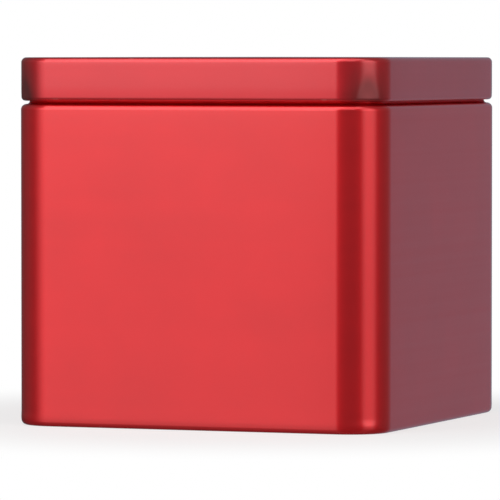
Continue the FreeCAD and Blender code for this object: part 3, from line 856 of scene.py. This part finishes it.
class INKPAD_OT_lid(bpy.types.Operator):
    """Press the lid, with its soft edge, straight skirt and rolled hem, and line it with foam"""

    bl_idname = "ink_pad.lid"
    bl_label = "Lid"

    def execute(self, context):
        sizes = context.scene.ink_pad_sizes
        low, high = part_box("lid_shell")
        half = high.x
        reach = half - sizes.corner
        bm = bmesh.new()
        self.trace(bm, sizes, half, low.z, high.z, reach)
        carry_round(bm, reach)
        self.close_top(bm, sizes, half, high.z)
        spring_back(bm, sizes.lid_relax, sizes.relax_reach, reach, sizes.corner)
        hem_top = low.z + sizes.hem / 2
        lean_in(bm, hem_top, sizes.hem_lean_reach, sizes.hem_lean, half, reach)
        self.form(bm, sizes, hem_top, reach)
        lid = new_piece("lid_sheet", bm, "shaded_lid_lacquer", "bare_tinplate")
        thicken(lid, sizes.gauge)
        settle(lid)
        weigh_normals(lid)
        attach(lid, "lid")
        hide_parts("lid_shell")
        self.add_liner()
        return {"FINISHED"}

    def trace(self, bm, sizes, half, hem_base, top, reach):
        """The outer line of the sheet, from the flat of the lid to the end of the hem's roll."""
        tip = bm.verts.new((half - sizes.lid_edge, reach, top))
        tip = bend(bm, tip, half - sizes.lid_edge, top - sizes.lid_edge, 90, 10)
        roll = sizes.hem / 2
        skirt_top, skirt_foot = top - sizes.lid_edge, hem_base + roll
        tip = run_in_steps(bm, tip, half, skirt_top, skirt_foot, 10)
        bend(bm, tip, half - roll, skirt_foot, 270, ROLL_STEPS)

    def close_top(self, bm, sizes, half, top):
        """Fills the top, cut into cells so that it can be crowned a little."""
        rim = [e for e in bm.edges
               if e.is_boundary and all(abs(v.co.z - top) < TINY for v in e.verts)]
        face = bmesh.ops.contextual_create(bm, geom=rim)["faces"][0]
        if face.normal.z < 0:
            face.normal_flip()
        plain_edge, cell, margin = 0.5 * MM, 6 * MM, 4 * MM
        bmesh.ops.inset_individual(bm, faces=[face], thickness=plain_edge, use_even_offset=True)
        cells = cut_grid(bm, [face], cell, half - margin)
        inner = half - sizes.lid_edge
        for v in {v for f in cells for v in f.verts}:
            across = max(1 - (v.co.x / inner) ** 2, 0) * max(1 - (v.co.y / inner) ** 2, 0)
            v.co.z += sizes.lid_crown * across

    def form(self, bm, sizes, hem, reach):
        """Draws the skirt's corners in towards the hem, highest in the middle of each."""
        for v in bm.verts:
            share, out = corner_share(v.co, reach)
            if share:
                arch = share ** 3
                fall = smooth_step(hem + sizes.draw_height * arch - v.co.z, 0, sizes.draw_height)
                v.co -= out * sizes.draw_in * fall

    def add_liner(self):
        """The foam liner, a little inside its CAD space, with soft edges."""
        bm = soft_block("lid_liner", 6 * MM, 0.2 * MM)
        liner = new_piece("liner_sheet", bm, "liner_foam")
        settle(liner)
        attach(liner, "lid")
        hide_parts("lid_liner")


class INKPAD_OT_base(bpy.types.Operator):
    """Finish the bottom panel, its sealing compound and its label"""

    bl_idname = "ink_pad.base"
    bl_label = "Base"

    def execute(self, context):
        finish_node("bottom_panel", "bare_tinplate")
        finish_node("bottom_seal", "sealing_compound")
        finish_node("base_label", "label_paper")
        return {"FINISHED"}


class INKPAD_OT_mouldings(bpy.types.Operator):
    """Finish the moulded pedestal, tray, frame and wick plate, and the tape under the pedestal"""

    bl_idname = "ink_pad.mouldings"
    bl_label = "Mouldings"

    def execute(self, context):
        finish_node("pedestal", "pedestal_plastic")
        finish_node("pedestal_tape", "foam_tape")
        finish_node("ink_tray", "tray_plastic")
        finish_node("tray_frame", "tray_plastic")
        finish_node("wick_plate", "wick_plastic")
        return {"FINISHED"}


class INKPAD_OT_sponge(bpy.types.Operator):
    """Make the sponge that stores the ink, with open cells in its surface"""

    bl_idname = "ink_pad.sponge"
    bl_label = "Sponge"

    def execute(self, context):
        bm = soft_block("reservoir_foam", 2.3 * MM, 0.5 * MM, inset=0.2 * MM)
        sponge = new_piece("ink_sponge", bm, "sponge")
        cells = sponge.modifiers.new("cells", "REMESH")
        cells.mode = "VOXEL"
        cells.voxel_size = 0.55 * MM
        displace(sponge, "sponge_pores", "VORONOI", 1.9 * MM, 0.55 * MM)
        displace(sponge, "sponge_drift", "CLOUDS", 7 * MM, 0.25 * MM)
        settle(sponge, sharp=180)
        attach(sponge, "tray")
        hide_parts("reservoir_foam")
        return {"FINISHED"}


class INKPAD_OT_felt(bpy.types.Operator):
    """Make the felt under the cloth, with a fibrous surface"""

    bl_idname = "ink_pad.felt"
    bl_label = "Felt"

    def execute(self, context):
        bm = soft_block("felt_pad", 1.0 * MM, 0.7 * MM, inset=0.15 * MM)
        felt = new_piece("felt_block", bm, "inked_felt")
        fibres = felt.modifiers.new("fibres", "REMESH")
        fibres.mode = "VOXEL"
        fibres.voxel_size = 0.5 * MM
        displace(felt, "felt_fibres", "CLOUDS", 0.9 * MM, 0.16 * MM, noise_depth=3)
        settle(felt, sharp=180)
        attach(felt, "tray")
        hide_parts("felt_pad")
        return {"FINISHED"}


class INKPAD_OT_cloth(bpy.types.Operator):
    """Stretch the woven cloth over the felt and tuck it under"""

    bl_idname = "ink_pad.cloth"
    bl_label = "Cloth"

    def execute(self, context):
        sizes = context.scene.ink_pad_sizes
        low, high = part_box("pad_cloth")
        bm = self.wrap(low, high, sizes.tuck)
        self.map_threads(bm, high)
        self.soften(bm, low, high)
        cloth = new_piece("pad_cover", bm, "inked_cloth")
        thicken(cloth, sizes.cloth_gauge)
        settle(cloth, sharp=60)
        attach(cloth, "tray")
        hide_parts("pad_cloth")
        return {"FINISHED"}

    def wrap(self, low, high, tuck):
        """An open box of cloth, finely divided, with its hem turned in below."""
        bm = new_block(high - low, (low + high) / 2)
        bottom = min(bm.faces, key=lambda face: face.calc_center_median().z)
        bmesh.ops.delete(bm, geom=[bottom], context="FACES_ONLY")
        for axis, cuts in ((2, 9), (0, 95), (1, 95)):
            edges = [e for e in bm.edges if extent(e, axis) > TINY]
            bmesh.ops.subdivide_edges(bm, edges=edges, cuts=cuts, use_grid_fill=True)
        row = [e for e in bm.edges if e.is_boundary]
        steps = 6
        for i in range(1, steps + 1):
            row, points = last_row(bmesh.ops.extrude_edge_only(bm, edges=row)["geom"])
            share = (high.x - tuck * i / steps) / (high.x - tuck * (i - 1) / steps)
            bmesh.ops.scale(bm, vec=(share, share, 1), verts=points)
        face_outwards(bm)
        return bm

    def map_threads(self, bm, high):
        """Lays the weave's UV map along the cloth, over the edges and down the sides."""
        uv = bm.loops.layers.uv.new("threads")
        for face in bm.faces:
            for loop in face.loops:
                place = loop.vert.co
                drop = high.z - place.z
                loop[uv].uv = [
                    along + (math.copysign(drop, along) if abs(facing) > 0.5 else 0)
                    for along, facing in zip(place.xy, face.normal.xy)
                ]

    def soften(self, bm, low, high):
        """Rounds the cloth over the felt's edges, lets it fall away towards them and ruffles it."""
        radius, fall, ruffle, ruffle_length = 1.3 * MM, 0.32 * MM, 0.035 * MM, 5 * MM
        for v in bm.verts:
            core = Vector((
                min(max(v.co.x, low.x + radius), high.x - radius),
                min(max(v.co.y, low.y + radius), high.y - radius),
                min(v.co.z, high.z - radius),
            ))
            if v.co.z > low.z + TINY and (v.co - core).length > radius:
                v.co = core + (v.co - core).normalized() * radius
            out = max(abs(v.co.x), abs(v.co.y)) / high.x
            if v.co.z > high.z - radius:
                v.co.z -= fall * out ** 5
                v.co.z += ruffle * (noise.noise(v.co / ruffle_length) - 1)


class INKPAD_OT_film(bpy.types.Operator):
    """Lay the clear film on the pad, with its tab over the front of the frame"""

    bl_idname = "ink_pad.film"
    bl_label = "Film"

    def execute(self, context):
        sizes = context.scene.ink_pad_sizes
        low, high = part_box("cover_film")
        half = high.x
        tab_half, tab_corner, corner = 5 * MM, 2 * MM, 0.6 * MM
        wave, wave_length = 0.03 * MM, 9 * MM
        top = high.z - wave
        bm = bmesh.new()
        outline = ((half, half), (-half, half), (-half, -half), (-tab_half, -half),
                   (-tab_half, low.y), (tab_half, low.y), (tab_half, -half), (half, -half))
        points = [bm.verts.new((x, y, top)) for x, y in outline]
        bmesh.ops.contextual_create(bm, geom=points)
        round_off(bm, points[4:6], tab_corner, 8, affect="VERTICES")
        round_off(bm, [*points[:3], points[7]], corner, 4, affect="VERTICES")
        bm.normal_update()
        for face in bm.faces:
            if face.normal.z < 0:
                face.normal_flip()
        cell, past_edge = 2.5 * MM, 5 * MM
        cut_grid(bm, bm.faces[:], cell, half + past_edge)
        for v in bm.verts:
            v.co.z += wave * noise.noise(v.co / wave_length)
        film = new_piece("film_sheet", bm, "clear_film")
        thicken(film, sizes.film_gauge)
        settle(film)
        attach(film, "film")
        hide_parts("cover_film")
        return {"FINISHED"}


# ---------------------------------------------------------------- stage


class INKPAD_OT_stage(bpy.types.Operator):
    """Set up the pale floor, the soft studio light and the camera"""

    bl_idname = "ink_pad.stage"
    bl_label = "Stage"

    def execute(self, context):
        studio = context.scene.ink_pad_studio
        context.scene.view_settings.view_transform = "Standard"
        self.add_camera(context.scene, studio)
        self.add_floor()
        self.add_top_light(studio)
        self.add_surround(context.scene, studio)
        return {"FINISHED"}

    def add_camera(self, scene, studio):
        data = bpy.data.cameras.new("camera")
        data.lens = studio.lens
        data.clip_start = 0.01
        camera = add_object("camera", data)
        x = studio.distance * math.sin(studio.azimuth)
        y = -studio.distance * math.cos(studio.azimuth)
        camera.location = (x, y, studio.height)
        camera.rotation_euler = (math.pi / 2 - studio.pitch, 0, studio.yaw)
        scene.camera = camera

    def add_floor(self):
        bm = bmesh.new()
        half_width, clearance = 30, 0.02 * MM
        bmesh.ops.create_grid(bm, x_segments=1, y_segments=1, size=half_width)
        floor = add_object("floor", new_mesh("floor", bm))
        floor.location.z = -clearance
        floor.visible_glossy = False
        floor.data.materials.append(self.floor_finish())

    def floor_finish(self):
        """Matte white paper near the tin that fades into the plain white of the backdrop."""
        material, tree, _ = new_material("floor_paper", Roughness=0.5, Specular_IOR_Level=0.08,
                                         Base_Color=(0.92, 0.92, 0.92, 1))
        x, y, _ = axes_of(tree, object_place(tree))
        near, away = 0.05, 0.11
        far = remap(tree, radius_of(tree, x, y), near, away, 0.72, 1.0, smooth=True)
        white = add_node(tree, "ShaderNodeEmission")
        blend = add_node(tree, "ShaderNodeMixShader")
        tree.links.new(far, blend.inputs[0])
        tree.links.new(tree.nodes["Principled BSDF"].outputs[0], blend.inputs[1])
        tree.links.new(white.outputs[0], blend.inputs[2])
        tree.links.new(blend.outputs[0], tree.nodes["Material Output"].inputs["Surface"])
        return material

    def add_top_light(self, studio):
        data = bpy.data.lights.new("top_light", "AREA")
        data.shape = "RECTANGLE"
        data.size = 1.1
        data.size_y = 0.9
        data.energy = studio.top_light
        light = add_object("top_light", data)
        light.location = (0.0, -0.5, 0.8)
        aim = Vector((0, 0, 0.03)) - light.location
        light.rotation_euler = aim.to_track_quat("-Z", "Y").to_euler()

    def add_surround(self, scene, studio):
        """Tall soft panels either side of the camera, and a cool fill behind the tin.

        A panel is its left edge, right edge and their fades, in degrees from the front, and its
        brightness.
        """
        panels = (
            (-44, -15, 22, 7, 1.18),
            (54, 90, 8, 9, 0.78),
        )
        world = bpy.data.worlds.new("studio")
        scene.world = world
        world.use_nodes = True
        tree = world.node_tree
        shade = tree.nodes["Background"]
        direction = tree.nodes.new("ShaderNodeTexCoord").outputs["Generated"]
        x, y, z = axes_of(tree, direction)
        azimuth = maths(tree, "ARCTAN2", x, maths(tree, "MULTIPLY", y, -1.0))
        level = 0.0
        for left, right, left_fade, right_fade, brightness in panels:
            rise_from, rise_to, fall_from, fall_to = (math.radians(edge) for edge in (
                left - left_fade, left + left_fade, right - right_fade, right + right_fade))
            rise = remap(tree, azimuth, rise_from, rise_to, 0.0, brightness, smooth=True)
            fall = remap(tree, azimuth, fall_from, fall_to, 1.0, 0.0, smooth=True)
            level = maths(tree, "MULTIPLY_ADD", rise, fall, level)
        # the panels brighten from the floor upwards, and fade near the floor and overhead
        tall = remap(tree, z, -0.035, 0.02, 0.62, 1.25, smooth=True)
        tall = maths(tree, "ADD", tall, remap(tree, z, -0.02, 0.3, 0.0, 0.55, smooth=True))
        tall = maths(tree, "MULTIPLY", tall, remap(tree, z, -0.5, -0.09, 0.2, 1.0, smooth=True))
        tall = maths(tree, "MULTIPLY", tall, remap(tree, z, 0.15, 0.7, 1.0, 0.5, smooth=True))
        room = remap(tree, z, -0.3, 0.25, 0.08, 0.19, smooth=True)
        level = maths(tree, "MULTIPLY_ADD", level, tall, room)
        behind = remap(tree, y, 0.7, 0.98, smooth=True)
        level = maths(tree, "MULTIPLY", level, studio.surround)
        far_left = maths(tree, "MULTIPLY", remap(tree, x, -0.25, -0.6, smooth=True),
                         remap(tree, y, -0.1, 0.4, smooth=True))
        level = maths(tree, "MULTIPLY", level, maths(tree, "MULTIPLY_ADD", far_left, -0.45, 1.0))
        seen = tree.nodes.new("ShaderNodeLightPath").outputs["Is Camera Ray"]
        light = mix_colour(tree, behind, self.grey(tree, level), (0.2, 0.262, 0.327))
        tree.links.new(mix_colour(tree, seen, light, (1, 1, 1)), shade.inputs["Color"])

    def grey(self, tree, level):
        made = add_node(tree, "ShaderNodeCombineColor")
        for socket in made.inputs:
            tree.links.new(level, socket)
        return made.outputs[0]


class INKPAD_OT_finishes(bpy.types.Operator):
    """Mix the finishes that the pieces share"""

    bl_idname = "ink_pad.finishes"
    bl_label = "Finishes"

    def execute(self, context):
        Finishes.build(context)
        return {"FINISHED"}


STEPS = (
    INKPAD_OT_finishes,
    INKPAD_OT_wall,
    INKPAD_OT_lid,
    INKPAD_OT_base,
    INKPAD_OT_mouldings,
    INKPAD_OT_sponge,
    INKPAD_OT_felt,
    INKPAD_OT_cloth,
    INKPAD_OT_film,
    INKPAD_OT_stage,
)
SETTINGS = (InkPadSizes, InkPadColours, InkPadStudio)


class INKPAD_PT_sidebar(bpy.types.Panel):
    """Lists the settings and the steps that build the ink pad"""

    bl_idname = "INKPAD_PT_sidebar"
    bl_label = "Ink Pad"
    bl_space_type = "VIEW_3D"
    bl_region_type = "UI"
    bl_category = "Ink Pad"

    def draw(self, context):
        scene = context.scene
        for group in (scene.ink_pad_sizes, scene.ink_pad_colours, scene.ink_pad_studio):
            column = self.layout.column()
            for name in group.__annotations__:
                column.prop(group, name)
        for step in STEPS:
            self.layout.operator(step.bl_idname)


def register():
    for cls in (*SETTINGS, *STEPS, INKPAD_PT_sidebar):
        bpy.utils.register_class(cls)
    bpy.types.Scene.ink_pad_sizes = bpy.props.PointerProperty(type=InkPadSizes)
    bpy.types.Scene.ink_pad_colours = bpy.props.PointerProperty(type=InkPadColours)
    bpy.types.Scene.ink_pad_studio = bpy.props.PointerProperty(type=InkPadStudio)


def unregister():
    del bpy.types.Scene.ink_pad_studio
    del bpy.types.Scene.ink_pad_colours
    del bpy.types.Scene.ink_pad_sizes
    for cls in reversed((*SETTINGS, *STEPS, INKPAD_PT_sidebar)):
        bpy.utils.unregister_class(cls)


def main():
    register()
    for step in STEPS:
        group, name = step.bl_idname.split(".")
        getattr(getattr(bpy.ops, group), name)()


if __name__ == "__main__":
    main()
